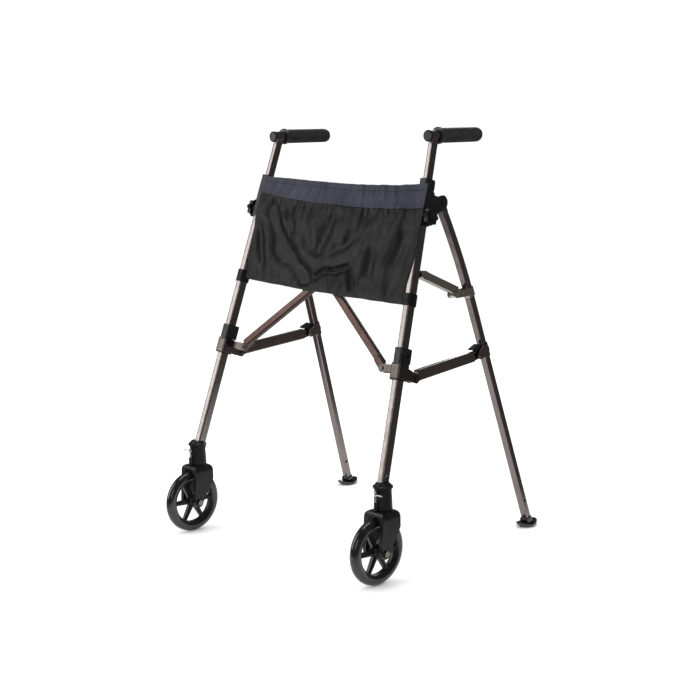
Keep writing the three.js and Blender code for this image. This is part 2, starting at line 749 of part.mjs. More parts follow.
function axleBolt() {
  const shank = rod("x", 4, 2 * FORK_HALF_WIDTH + 6, 0, 0, 0);
  const head = rod("x", 7.2, 4, FORK_HALF_WIDTH + GAP + 2, 0, 0, 16);
  const nut = rod("x", 7.2, 5, -FORK_HALF_WIDTH - GAP - 2.5, 0, 0, 6);
  return wheelPlace(join(shank, head, nut));
}

// ---- X brace and pouch, in the plane of the front legs ----
const ARM_RISE = BRACE_HIGH - BRACE_LOW;
const ARM_LENGTH = Math.hypot(2 * BRACE_HALF_SPAN, ARM_RISE);
const ARM_ANGLE = Math.atan2(ARM_RISE, 2 * BRACE_HALF_SPAN);
const BRACE_MIDDLE = (BRACE_LOW + BRACE_HIGH) / 2;

// An arm from its low pin at -X to its high pin at +X, with its tube before the pins' middle.
function braceArm() {
  const half = ARM_LENGTH / 2;
  const tubePart = bar(ARM_HEIGHT, ARM_DEPTH, 2.8, 19 - half, half - 19);
  tubePart.rotateY(Math.PI / 2).translate(0, -ARM_SPREAD, 0);
  const ends = [-1, 1].flatMap((side) => {
    const outline = lugOutline(side * half, 0, 8.4, side * (half - 22), 0, 8.4);
    const tongue = frontPlate(outline, -TONGUE / 2, TONGUE / 2);
    const low = -ARM_SPREAD - ARM_DEPTH / 2 + 1;
    const plug = box(18, TONGUE / 2 - low, 15, side * (half - 24), (TONGUE / 2 + low) / 2, 0);
    return [tongue, plug];
  });
  const bores = [-half, 0, half].map((x) => rod("y", x ? PIN_RADIUS + GAP : 4 + GAP, 60, x, 0, 0));
  return cut(join(tubePart, ...ends), ...bores);
}

// The second arm is the first turned half round the upright through the crossing.
function placeArm(geometry, turned) {
  geometry.rotateY(-ARM_ANGLE);
  if (turned) geometry.rotateZ(Math.PI);
  return geometry.translate(0, BRACE_REAR, BRACE_MIDDLE);
}

function braceBolt() {
  return rivet("y", 4, 2 * ARM_SPREAD + ARM_DEPTH, 0, BRACE_REAR, BRACE_MIDDLE);
}

// Fabric pouch: it hangs between the front legs, with a sagging top edge.
function pouch() {
  const outline = new THREE.Shape();
  const left = POUCH_TILT;
  const right = -POUCH_TILT;
  outline.moveTo(-250, POUCH_BOTTOM + left);
  outline.quadraticCurveTo(0, POUCH_BOTTOM - 4, 268, POUCH_BOTTOM + right);
  outline.quadraticCurveTo(262, POUCH_BOTTOM + 110, 266, POUCH_TOP + right);
  outline.quadraticCurveTo(0, POUCH_TOP - 2 * POUCH_SAG, -258, POUCH_TOP + left);
  outline.quadraticCurveTo(-250, POUCH_BOTTOM + 110, -250, POUCH_BOTTOM + left);
  return frontPlate(outline, POUCH_FRONT, POUCH_BACK, 6);
}

// ---- Assembly ----
const walker = new THREE.Group();
walker.position.y = -OUTLINE_MIDDLE_Y;

for (const [name, sign] of [["right", 1], ["left", -1]]) {
  const { side, leg } = sideFrame(sign);
  const add = (group, label, geometry, finish) => group.add(piece(`${name}_${label}`, geometry, finish));
  add(leg, "front_leg_tube", frontLegTube(), walnutMetal);
  add(leg, "hub_casting", hubCasting(), blackPlastic);
  add(leg, "top_collar", topCollar(), blackPlastic);
  add(leg, "height_knob", starKnob(), blackPlastic);
  add(leg, "stop_collar", stopCollar(), blackPlastic);
  add(leg, "slider_bushing", sliderBushing(), blackPlastic);
  add(leg, "slider_bracket", sliderBracket(), walnutMetal);
  add(leg, "brace_rivet", rivet("y", PIN_RADIUS, TONGUE + 5.4, lowPin.x, lowPin.y, lowPin.z), steel);
  add(leg, "link_front_rivet", rivet("x", PIN_RADIUS, 21, 0, ...LINK_FRONT_PIN), steel);
  add(leg, "upper_link_catch", upperLinkCatch(), blackPlastic);
  add(leg, "upper_link_pin", upperLinkPin(), steel);
  add(leg, "handle_tube", handleTube(), walnutMetal);
  add(leg, "handle_cap", handleCap(), blackPlastic);
  add(leg, "grip", grip(), gripFoam);
  add(leg, "rear_leg_tube", rearLegTube(), walnutMetal);
  add(leg, "rear_leg_bolt", rivet("x", 4.4, 24.8, 0, ...HUB_PIVOT), steel);
  add(leg, "rear_bracket_lower", lowerRearBracket(), walnutMetal);
  add(leg, "rear_bracket_upper", upperRearBracket(), walnutMetal);
  add(leg, "side_link", sideLink(), walnutMetal);
  add(leg, "latch_lever", latchLever(), blackPlastic);
  add(leg, "upper_link", upperLink(), walnutMetal);
  add(side, "glide_foot", glideFoot(), blackRubber);
  add(side, "caster_socket", casterSocket(), blackPlastic);
  add(side, "lock_pin", lockPin(), steel);
  const caster = casterFrame(sign * CASTER_YAW);
  side.add(caster.swivel);
  add(caster.inner, "caster_fork", casterFork(sign * CASTER_YAW), blackPlastic);
  add(caster.inner, "tyre", tyre(), blackRubber);
  add(caster.inner, "wheel", wheel(), blackPlastic);
  add(caster.inner, "axle_bolt", axleBolt(), steel);
  walker.add(side);
}

const brace = bracePlane();
brace.add(piece("brace_arm_a", placeArm(braceArm(), false), walnutMetal));
brace.add(piece("brace_arm_b", placeArm(braceArm(), true), walnutMetal));
brace.add(piece("brace_centre_bolt", braceBolt(), steel));
brace.add(piece("pouch", pouch(), fabric));
walker.add(brace);

export default walker;
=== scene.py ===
"""A folding two-wheel walker: materials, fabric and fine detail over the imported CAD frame. Metres."""
import math

import bmesh
import bpy
from mathutils import Matrix, Vector, noise


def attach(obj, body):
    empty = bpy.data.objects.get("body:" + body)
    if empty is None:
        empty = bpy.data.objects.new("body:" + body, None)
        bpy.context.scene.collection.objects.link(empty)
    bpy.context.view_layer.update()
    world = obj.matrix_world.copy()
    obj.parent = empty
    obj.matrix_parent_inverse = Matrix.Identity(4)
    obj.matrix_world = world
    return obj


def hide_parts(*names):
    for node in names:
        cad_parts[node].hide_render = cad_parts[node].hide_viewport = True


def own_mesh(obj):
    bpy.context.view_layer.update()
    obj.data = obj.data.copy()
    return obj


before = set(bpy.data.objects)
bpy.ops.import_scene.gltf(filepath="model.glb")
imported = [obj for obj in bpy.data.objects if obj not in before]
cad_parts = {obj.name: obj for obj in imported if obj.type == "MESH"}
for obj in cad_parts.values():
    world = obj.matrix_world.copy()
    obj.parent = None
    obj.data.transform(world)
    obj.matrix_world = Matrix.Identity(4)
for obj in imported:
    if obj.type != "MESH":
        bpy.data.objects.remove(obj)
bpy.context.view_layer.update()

# ---- The model's own frames ----
SHIFT = 0.020951
SLOPE = math.radians(18.553)
LEAN = math.radians(3.964)
PLANE = Matrix.Translation((0, -0.3274 + SHIFT, 0)) @ Matrix.Rotation(-SLOPE, 4, "X")
MIRROR = Matrix.Diagonal((-1, 1, 1, 1))
LEG = PLANE @ Matrix.Translation((0.3196, 0, 0)) @ Matrix.Rotation(-LEAN, 4, "Y")
SIDES = {"right": Matrix.Identity(4), "left": MIRROR}
TO_X = Matrix.Rotation(math.pi / 2, 4, "Y")  # turns a lathe's Z axis to X
TO_Y = Matrix.Rotation(-math.pi / 2, 4, "X")  # turns a lathe's Z axis to Y


def at(x, y, z):
    return Matrix.Translation((x, y, z))


# ---- Materials ----
class Nodes:
    """A material's node tree, with short calls for the usual chains."""

    def __init__(self, name, color, roughness, metallic=0.0, **sockets):
        self.material = bpy.data.materials.new(name)
        self.material.use_nodes = True
        self.tree = self.material.node_tree
        self.shader = self.tree.nodes["Principled BSDF"]
        self.shader.inputs["Base Color"].default_value = (*color, 1)
        self.shader.inputs["Roughness"].default_value = roughness
        self.shader.inputs["Metallic"].default_value = metallic
        for socket, value in sockets.items():
            self.shader.inputs[socket.replace("_", " ")].default_value = value
        self.place = self.node("ShaderNodeTexCoord").outputs["Object"]

    def node(self, kind, **settings):
        made = self.tree.nodes.new(kind)
        for key, value in settings.items():
            setattr(made, key, value)
        return made

    def link(self, a, b):
        self.tree.links.new(a, b)
        return self

    def noise(self, scale, detail):
        made = self.node("ShaderNodeTexNoise")
        made.inputs["Scale"].default_value = scale
        made.inputs["Detail"].default_value = detail
        self.link(self.place, made.inputs["Vector"])
        return made.outputs[0]

    def ramp(self, source, low, high, start=0.3, end=0.7):
        made = self.node("ShaderNodeValToRGB")
        for element, position, value in zip(made.color_ramp.elements, (start, end), (low, high)):
            element.position = position
            element.color = (*value, 1) if hasattr(value, "__len__") else (value, value, value, 1)
        self.link(source, made.inputs[0])
        return made.outputs[0]

    def color(self, source, low, high, start=0.3, end=0.7):
        return self.link(self.ramp(source, low, high, start, end), self.shader.inputs["Base Color"])

    def rough(self, source, low, high):
        return self.link(self.ramp(source, low, high), self.shader.inputs["Roughness"])

    def bump(self, source, strength, distance, below=None):
        made = self.node("ShaderNodeBump")
        made.inputs["Strength"].default_value = strength
        made.inputs["Distance"].default_value = distance
        self.link(source, made.inputs["Height"])
        if below is not None:
            self.link(below, made.inputs["Normal"])
        self.link(made.outputs[0], self.shader.inputs["Normal"])
        return made.outputs[0]


def anodised(name, color, darker, roughness=0.22, rounding=0.002):
    """Drawn and anodised tube: colour drift, handling marks in its gloss, and edges that shade round."""
    m = Nodes(name, color, roughness, 1.0)
    m.color(m.noise(9, 4), darker, color)
    m.rough(m.noise(70, 5), roughness - 0.05, roughness + 0.08)
    crown = m.node("ShaderNodeBevel", samples=12)
    crown.inputs["Radius"].default_value = rounding
    m.bump(m.noise(700, 2), 0.04, 0.0001, crown.outputs[0])
    return m.material


def plastic(name, color, roughness, grain=1400, strength=0.25, gloss=0.35):
    """Moulded plastic: a fine grain, with scuffs that change its gloss."""
    m = Nodes(name, color, roughness, 0.0, Specular_IOR_Level=gloss)
    lighter = tuple(min(1, c * 1.5 + 0.002) for c in color)
    m.color(m.noise(35, 5), color, lighter, 0.4, 0.75)
    m.rough(m.noise(60, 6), roughness - 0.07, roughness + 0.1)
    m.bump(m.noise(grain, 2), strength, 0.0002)
    return m.material


def zinc(name, color, roughness):
    """Plated steel, mottled and a little worn."""
    m = Nodes(name, color, roughness, 1.0)
    m.color(m.noise(150, 5), tuple(c * 0.7 for c in color), color)
    m.rough(m.noise(300, 4), roughness - 0.08, roughness + 0.14)
    m.bump(m.noise(1500, 2), 0.15, 0.0001)
    return m.material


def cloth(name, color, lighter, pitch=0.0011, sheen=0.0):
    """Woven nylon, with the weave drawn in the plane of the front legs."""
    m = Nodes(name, color, 0.45, 0.0, Sheen_Weight=sheen, Sheen_Roughness=0.4, Specular_IOR_Level=0.175)
    m.color(m.noise(14, 5), color, lighter, 0.35, 0.75)
    m.rough(m.noise(40, 4), 0.34, 0.45)
    turned = m.node("ShaderNodeMapping", vector_type="POINT")
    turned.inputs["Rotation"].default_value = (SLOPE, 0, 0)
    m.link(m.place, turned.inputs[0])
    threads = []
    for direction in ("X", "Z"):
        wave = m.node("ShaderNodeTexWave", bands_direction=direction)
        wave.inputs["Scale"].default_value = 0.314 / pitch
        wave.inputs["Distortion"].default_value = 0.6
        wave.inputs["Detail"].default_value = 1.0
        m.link(turned.outputs[0], wave.inputs[0])
        threads.append(wave.outputs["Fac"])
    both = m.node("ShaderNodeMath", operation="MULTIPLY")
    m.link(threads[0], both.inputs[0])
    m.link(threads[1], both.inputs[1])
    weave = m.bump(both.outputs[0], 0.35, 0.0003)
    m.bump(m.noise(90, 5), 0.3, 0.0011, weave)
    return m.material


WALNUT = anodised("walnut_anodised", (0.215, 0.192, 0.185), (0.165, 0.142, 0.135), 0.2)
CROWNED = anodised("walnut_leg", (0.2, 0.178, 0.17), (0.155, 0.133, 0.126), 0.2, 0.0048)
# A darker copy of the walnut anodising, with painted shade: the slider brackets take it so their fronts
# show less of the key light's reflection; the rivets share it.
SHADED_WALNUT = anodised("walnut_shaded_darker", (0.105, 0.088, 0.082), (0.08, 0.066, 0.06), 0.34)
# The brace arms' anodising, much darker than the tubes': partly their own browner colour, partly painted
# shade, so their front faces don't show the key light's reflection as the legs' do.
SHADED_BRACE_BROWN = anodised("brace_brown_painted_shade", (0.052, 0.034, 0.029), (0.038, 0.024, 0.02), 0.26)
TAUPE = anodised("taupe_anodised", (0.44, 0.41, 0.36), (0.38, 0.35, 0.31), 0.28)
BLACK = plastic("black_moulding", (0.004, 0.0041, 0.0042), 0.34, gloss=0.27)
SATIN = plastic("satin_wheel", (0.0045, 0.0045, 0.005), 0.32, 1800, 0.12, 0.3)
RUBBER = plastic("tyre_rubber", (0.004, 0.004, 0.0048), 0.15, 900, 0.05, 0.6)
FOAM = plastic("grip_rubber", (0.011, 0.011, 0.013), 0.38, 2000, 0.12, 0.55)
ZINC = zinc("zinc_plate", (0.62, 0.6, 0.56), 0.28)
STEEL = zinc("dark_steel", (0.2, 0.18, 0.15), 0.3)
NYLON = cloth("black_nylon", (0.0026, 0.0024, 0.0034), (0.0048, 0.0045, 0.0060))
SLATE = cloth("slate_nylon", (0.016, 0.0165, 0.028), (0.026, 0.027, 0.042))
THREAD = cloth("stitching", (0.028, 0.028, 0.034), (0.045, 0.045, 0.055), 0.0007, 0.1)


# ---- Mesh pieces ----
def round_edges(obj, width, angle):
    """A bevel on every edge sharper than the angle, in degrees."""
    rounding = obj.modifiers.new("edges", "BEVEL")
    rounding.width = width
    rounding.segments = 2
    rounding.limit_method = "ANGLE"
    rounding.angle_limit = math.radians(angle)


def smooth(obj, angle, bevel):
    """Smooth shading, with edges kept sharp above the angle and a bevel where one is given."""
    if bevel:
        round_edges(obj, bevel, 32)
    obj.data.polygons.foreach_set("use_smooth", [True] * len(obj.data.polygons))
    obj.data.set_sharp_from_angle(angle=math.radians(angle))


def piece(name, shape, material, body, place, instead=(), bevel=0.0, angle=35):
    """A mesh from (vertices, faces), placed by a matrix, that rides on a body and stands for CAD nodes."""
    verts, faces = shape
    mesh = bpy.data.meshes.new(name)
    mesh.from_pydata([place @ Vector(v) for v in verts], [], faces)
    bm = bmesh.new()
    bm.from_mesh(mesh)
    bmesh.ops.remove_doubles(bm, verts=bm.verts, dist=1e-6)
    bmesh.ops.recalc_face_normals(bm, faces=bm.faces)
    bm.to_mesh(mesh)
    bm.free()
    obj = bpy.data.objects.new(name, mesh)
    bpy.context.scene.collection.objects.link(obj)
    mesh.materials.append(material)
    smooth(obj, angle, bevel)
    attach(obj, body)
    if instead:
        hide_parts(*instead)
    return obj


def lathe(profile, sides):
    """(vertices, faces) turned about Z from [(radius, along)], closed at its ends or end to end."""
    verts, faces = [], []
    closed = profile[0] == profile[-1]
    rows = profile[:-1] if closed else profile
    for radius, along in rows:
        for k in range(sides):
            a = 2 * math.pi * k / sides
            r = max(radius, 1e-6)
            verts.append((r * math.cos(a), r * math.sin(a), along))
    count = len(rows)
    for i in range(count if closed else count - 1):
        for k in range(sides):
            j, n = (i + 1) % count, (k + 1) % sides
            faces.append((i * sides + k, i * sides + n, j * sides + n, j * sides + k))
    if not closed:
        faces.append(tuple(range(sides))[::-1])
        faces.append(tuple((count - 1) * sides + k for k in range(sides)))
    return verts, faces


def prism(outline, low, high):
    """(vertices, faces) of a 2-D outline in XY, raised along Z from low to high."""
    n = len(outline)
    verts = [(x, y, z) for z in (low, high) for x, y in outline]
    faces = [tuple(range(n))[::-1], tuple(range(n, 2 * n))]
    faces += [(i, (i + 1) % n, n + (i + 1) % n, n + i) for i in range(n)]
    return verts, faces


def several(*shapes):
    """Several (vertices, faces), each with an optional matrix, as one."""
    verts, faces = [], []
    for shape in shapes:
        placed = isinstance(shape[1], Matrix)
        (v, f), m = shape if placed else (shape, Matrix.Identity(4))
        start = len(verts)
        verts += [tuple(m @ Vector(p)) for p in v]
        faces += [tuple(start + i for i in face) for face in f]
    return verts, faces


def rounded(width, depth, corner, steps):
    """The outline of a rectangle with round corners, centred on the origin."""
    points = []
    for cx, cy, start in ((1, 1, 0), (-1, 1, 90), (-1, -1, 180), (1, -1, 270)):
        for i in range(steps + 1):
            a = math.radians(start + 90 * i / steps)
            x = cx * (width / 2 - corner) + corner * math.cos(a)
            y = cy * (depth / 2 - corner) + corner * math.sin(a)
            points.append((x, y))
    return points


# ---- Camera, light and floor ----
def aim(obj, eye, target, roll=0.0):
    """Stands a camera or lamp at eye, facing target."""
    eye, target = Vector(eye), Vector(target)
    turn = (target - eye).to_track_quat("-Z", "Y").to_matrix().to_4x4()
    obj.matrix_world = Matrix.Translation(eye) @ turn @ Matrix.Rotation(roll, 4, "Z")


camera = bpy.data.objects.new("camera", bpy.data.cameras.new("camera"))
bpy.context.scene.collection.objects.link(camera)
camera.data.sensor_width = 36
camera.data.lens = 68.16
camera.data.clip_end = 60
EYE = (2.16444, -2.34048 + SHIFT, 1.00179)
TARGET = (0.05592, -0.08586 + SHIFT, 0.46814)
aim(camera, EYE, TARGET, math.radians(-0.969))
bpy.context.scene.camera = camera


def area_light(name, eye, target, size, power):
    lamp = bpy.data.lights.new(name, "AREA")
    lamp.shape = "RECTANGLE"
    lamp.size, lamp.size_y = size
    lamp.energy = power
    obj = bpy.data.objects.new(name, lamp)
    bpy.context.scene.collection.objects.link(obj)
    aim(obj, eye, target)


area_light("key", (-1.95, -2.0, 1.45), (0.0, -0.2, 0.5), (1.3, 2.3), 42)
area_light("side", (1.5, -3.2, 1.5), (0, 0, 0.5), (0.7, 1.6), 12)
area_light("top", (0.0, -0.3, 3.2), (0, 0, 0.4), (1.6, 1.6), 22)
area_light("back", (-1.4, 2.6, 1.6), (0, 0, 0.5), (0.9, 1.6), 14)

world = bpy.data.worlds.new("studio")
bpy.context.scene.world = world
world.use_nodes = True
sky = world.node_tree
ray = sky.nodes.new("ShaderNodeLightPath")
choose = sky.nodes.new("ShaderNodeMix")
choose.data_type = "RGBA"
choose.inputs["A"].default_value = (1.1, 1.1, 1.1, 1)
choose.inputs["B"].default_value = (0.13, 0.125, 0.125, 1)
sky.links.new(ray.outputs["Is Glossy Ray"], choose.inputs["Factor"])
sky.links.new(choose.outputs["Result"], sky.nodes["Background"].inputs["Color"])
sky.nodes["Background"].inputs["Strength"].default_value = 1.0
bpy.context.scene.view_settings.view_transform = "Standard"

floor_mesh = bpy.data.meshes.new("floor")
floor_mesh.from_pydata([(-20, -20, 0), (20, -20, 0), (20, 20, 0), (-20, 20, 0)], [], [(0, 1, 2, 3)])
floor = bpy.data.objects.new("floor", floor_mesh)
bpy.context.scene.collection.objects.link(floor)
floor.location.z = -0.0005
paper = Nodes("floor_paper", (0.93, 0.93, 0.93), 0.95, 0.0, Specular_IOR_Level=0.0)
paper.color(paper.noise(3, 3), (0.92, 0.92, 0.92), (0.94, 0.94, 0.94))
# Painted reflection: from 0.43 m out from the origin, fading in to 0.95 m, glossy rays see the floor as a
# dim brown glow (an emission) in place of the white paper, so the tubes reflect a darker floor.
reach = paper.node("ShaderNodeVectorMath", operation="LENGTH")
paper.link(paper.place, reach.inputs[0])
painted_reflection_mask = paper.ramp(reach.outputs["Value"], 0.0, 1.0, 0.43, 0.95)
painted_reflection_mask.node.color_ramp.interpolation = "EASE"
seen = paper.node("ShaderNodeMath", operation="MULTIPLY")
paper.link(paper.node("ShaderNodeLightPath").outputs["Is Glossy Ray"], seen.inputs[0])
paper.link(painted_reflection_mask, seen.inputs[1])
painted_reflection_glow = paper.node("ShaderNodeEmission")
painted_reflection_glow.inputs["Color"].default_value = (0.15, 0.135, 0.13, 1)
join = paper.node("ShaderNodeMixShader")
paper.link(seen.outputs[0], join.inputs[0])
paper.link(paper.shader.outputs[0], join.inputs[1])
paper.link(painted_reflection_glow.outputs[0], join.inputs[2])
paper.link(join.outputs[0], paper.tree.nodes["Material Output"].inputs["Surface"])
floor_mesh.materials.append(paper.material)

# ---- Finishes of the CAD nodes that stay ----
FINISH = {
    "front_leg_tube": (CROWNED, 0),
    "hub_casting": (BLACK, 0.0006),
    "top_collar": (BLACK, 0.0008),
    "height_knob": (BLACK, 0.0009),
    "stop_collar": (BLACK, 0.0008),
    "slider_bushing": (BLACK, 0.0006),
    "slider_bracket": (SHADED_WALNUT, 0.0022),
    "brace_rivet": (SHADED_WALNUT, 0.0006),
    "link_front_rivet": (SHADED_WALNUT, 0.0006),
    "upper_link_catch": (BLACK, 0.0004),
    "upper_link_pin": (ZINC, 0.0004),
    "handle_tube": (CROWNED, 0),
    "handle_cap": (BLACK, 0.0004),
    "rear_leg_tube": (WALNUT, 0),
    "rear_leg_bolt": (BLACK, 0.0004),
    "rear_bracket_lower": (WALNUT, 0.0003),
    "rear_bracket_upper": (TAUPE, 0.0003),
    "side_link": (WALNUT, 0),
    "latch_lever": (BLACK, 0.0005),
    "upper_link": (TAUPE, 0),
    "caster_socket": (BLACK, 0.0006),
    "caster_fork": (BLACK, 0.0009),
    "axle_bolt": (STEEL, 0.0005),
    "brace_arm_a": (SHADED_BRACE_BROWN, 0),
    "brace_arm_b": (SHADED_BRACE_BROWN, 0),
    "brace_centre_bolt": (ZINC, 0.0004),
}
for node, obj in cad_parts.items():
    kind = node.removeprefix("right_").removeprefix("left_")
    if kind in FINISH:
        material, bevel = FINISH[kind]
        obj.data.materials.clear()
        obj.data.materials.append(material)
        if bevel:
            round_edges(obj, bevel, 38)

# ---- Grips: a ribbed sleeve with a flange and a rounded end ----
HANDLE_W = 1.0214
GRIP_BORE = 0.0128
GRIP_START, GRIP_END = 0.011, 0.168
BORE_END = 0.1573
RIB_TOP, RIB_ROOT, RIB_PITCH = 0.0171, 0.0163, 0.0032
RIBS_START, RIBS_END = 0.0235, 0.151


def grip_profile():
    """The grip's section, from its bore out over the flange, ribs and nose, and back in."""
    flange = [(0.0180, GRIP_START), (0.0194, 0.0125), (0.0197, 0.0145), (0.0192, 0.0175)]
    flange += [(0.0178, 0.0198), (0.0168, 0.0215)]
    ribs = []
    along = RIBS_START
    while along < RIBS_END:
        ribs += [(RIB_TOP, along), (RIB_TOP, along + 0.0016)]
        ribs += [(RIB_ROOT, along + 0.0021), (RIB_ROOT, along + 0.0027)]
        along += RIB_PITCH
    nose = [(0.0170, along), (0.0166, 0.1585), (0.0150, 0.1630)]
    nose += [(0.0115, 0.1663), (0.006, 0.1677), (0.0, GRIP_END)]
    inside = [(0.0, BORE_END), (GRIP_BORE, BORE_END), (GRIP_BORE, GRIP_START)]
    return [(GRIP_BORE, GRIP_START)] + flange + ribs + nose + inside


for side, flip in SIDES.items():
    on_bar = flip @ LEG @ at(0, 0, HANDLE_W) @ Matrix.Rotation(SLOPE, 4, "X") @ TO_Y
    grip = lathe(grip_profile(), 40)
    piece(f"{side}_ribbed_grip", grip, FOAM, f"{side}_handle", on_bar, [f"{side}_grip"])

# ---- Wheels: a moulded rim with ribbed spokes, and a glossy tyre ----
STEM = Vector((0.308, -0.258 + SHIFT, 0))
AXLE_LEAD = 0.022
WHEEL_RADIUS = 0.0762
AXLE = Vector((STEM.x, STEM.y - AXLE_LEAD, WHEEL_RADIUS))
ROUND = 0.0126
MIDDLE = WHEEL_RADIUS - ROUND
SPOKES = 6
SPOKE_START = 0.011
YAW = {"right": math.radians(-4), "left": math.radians(4)}  # in each side's own frame


def tyre_profile():
    """A round section, open towards the axle where it sits on the rim."""
    points = []
    steps = 24
    for i in range(steps + 1):
        a = math.radians(128) * (2 * i / steps - 1)
        points.append((MIDDLE + ROUND * math.cos(a), ROUND * math.sin(a)))
    points += [(0.0566, 0.0085), (0.0566, -0.0085), points[0]]
    return points


def wheel_shape():
    """Rim, hub, and spokes that are each a flat web with a rib along it."""
    rim = [(0.0522, -0.0062), (0.0530, -0.0080), (0.0545, -0.0086), (0.0563, -0.0082), (0.0563, 0.0082)]
    rim += [(0.0545, 0.0086), (0.0530, 0.0080), (0.0522, 0.0062), (0.0518, 0.0), (0.0522, -0.0062)]
    hub = [(0.0043, -0.019), (0.0078, -0.019), (0.0092, -0.0165), (0.0108, -0.0100), (0.0135, -0.0075)]
    hub += [(r, -z) for r, z in reversed(hub)] + [(0.0043, -0.019)]
    parts = [lathe(rim, 96), lathe(hub, 40)]
    web = [(SPOKE_START, -0.0072), (0.0528, -0.0044), (0.0528, 0.0044), (SPOKE_START, 0.0072)]
    rib = [(SPOKE_START, -0.0018), (0.0526, -0.0013), (0.0526, 0.0013), (SPOKE_START, 0.0018)]
    for i in range(SPOKES):
        turn = Matrix.Rotation(2 * math.pi * (i + 0.5) / SPOKES, 4, "Z")
        parts.append((prism(web, -0.0045, 0.0045), turn))
        parts.append((prism(rib, -0.0078, 0.0078), turn))
    return several(*parts)


for side, flip in SIDES.items():
    turned = Matrix.Translation(STEM) @ Matrix.Rotation(YAW[side], 4, "Z") @ Matrix.Translation(-STEM)
    on_axle = flip @ turned @ Matrix.Translation(AXLE) @ TO_X
    body = f"{side}_wheel"
    piece(f"{side}_glossy_tyre", lathe(tyre_profile(), 112), RUBBER, body, on_axle, [f"{side}_tyre"])
    piece(f"{side}_spoked_wheel", wheel_shape(), SATIN, body, on_axle, [f"{side}_wheel"], 0.0005)

# ---- Swivel lock pins: a bright rod with a collar and a cross lever ----
ROD = Vector((STEM.x, STEM.y - 0.0237, 0.168))
ROD_RADIUS, ROD_LENGTH = 0.0021, 0.044
LEVER_HEIGHT = 0.0356


def lock_pin():
    rod = [(0.0, 0.0), (0.0017, 0.0), (ROD_RADIUS, 0.0006)]
    rod += [(ROD_RADIUS, ROD_LENGTH - 0.0008), (0.0016, ROD_LENGTH), (0.0, ROD_LENGTH)]
    collar = [(0.0, 0.0322), (0.0029, 0.0322), (0.0032, 0.0328)]
    collar += [(0.0032, 0.0388), (0.0029, 0.0394), (0.0, 0.0394)]
    lever = [(0.0, 0.0), (0.0013, 0.0), (0.0016, 0.0005), (0.0016, 0.0185), (0.0021, 0.0190)]
    lever += [(0.0021, 0.0204), (0.0014, 0.0210), (0.0, 0.0210)]
    across = at(-0.0015, -0.0012, LEVER_HEIGHT) @ TO_X
    return several(lathe(rod, 16), lathe(collar, 16), (lathe(lever, 14), across))


for side, flip in SIDES.items():
    place = flip @ Matrix.Translation(ROD)
    piece(f"{side}_bright_lock_pin", lock_pin(), ZINC, f"{side}_lock_pin", place, [f"{side}_lock_pin"])

# ---- Pouch: u runs from -1 at its left edge to 1 at its right, and v from 0 at the bottom to 1 ----
COLUMNS, ROWS = 150, 76
HALF_WIDTH, HEIGHT = 0.26, 0.258
VALLEY_DEPTH, VALLEY_WIDTH = 1.45, 1.15
DEEPEST = -0.0060


def step(v, start, end):
    t = min(1, max(0, (v - start) / (end - start)))
    return t * t * (3 - 2 * t)


def front_of(v):
    """The pouch's edges lie between the legs at the bottom, and before the legs and hubs higher up."""
    return 0.0075 + 0.0060 * step(v, 0.02, 0.22) + 0.0050 * step(v, 0.50, 0.64)


# Valleys between the folds: from one point of the pouch to another, with width and depth in metres
VALLEYS = (
    ((-0.82, 0.76), (-0.64, 0.46), 0.021, 0.0085),
    ((-0.64, 0.46), (-0.42, 0.22), 0.024, 0.0105),
    ((-0.42, 0.22), (-0.16, 0.06), 0.019, 0.0080),
    ((-0.94, 0.50), (-0.78, 0.16), 0.013, 0.0050),
    ((-0.58, 0.80), (-0.44, 0.52), 0.013, 0.0040),
    ((-0.34, 0.80), (-0.30, 0.58), 0.011, 0.0028),
    ((-0.30, 0.58), (-0.20, 0.36), 0.016, 0.0035),
    ((0.02, 0.74), (-0.06, 0.48), 0.018, 0.0050),
    ((-0.06, 0.48), (-0.12, 0.30), 0.015, 0.0045),
    ((0.42, 0.78), (0.30, 0.50), 0.016, 0.0036),
    ((0.30, 0.50), (0.02, 0.32), 0.012, 0.0036),
    ((0.52, 0.44), (0.56, 0.16), 0.011, 0.0046),
    ((0.34, 0.22), (0.42, 0.06), 0.009, 0.0032),
    ((0.66, 0.80), (0.62, 0.55), 0.014, 0.0028),
    ((0.86, 0.62), (0.78, 0.28), 0.014, 0.0030),
)
CREASES = (
    ((-0.09, 0.125), (0.03, 0.205), 0.0034, 0.0034),
    ((0.03, 0.205), (0.17, 0.215), 0.0030, 0.0030),
    ((0.17, 0.215), (0.33, 0.275), 0.0036, 0.0036),
)


def dip(u, v, line):
    """Depth of one valley at a point, fading past its ends."""
    (u0, v0), (u1, v1), width, depth = line
    px, py = (u - u0) * HALF_WIDTH, (v - v0) * HEIGHT
    dx, dy = (u1 - u0) * HALF_WIDTH, (v1 - v0) * HEIGHT
    t = (px * dx + py * dy) / (dx * dx + dy * dy)
    t = min(1.2, max(-0.2, t))
    away = math.hypot(px - t * dx, py - t * dy)
    ends = step(t, -0.2, 0.25) * step(1 - t, -0.2, 0.25)
    return VALLEY_DEPTH * depth * ends * math.exp(-((away / (VALLEY_WIDTH * width)) ** 2))


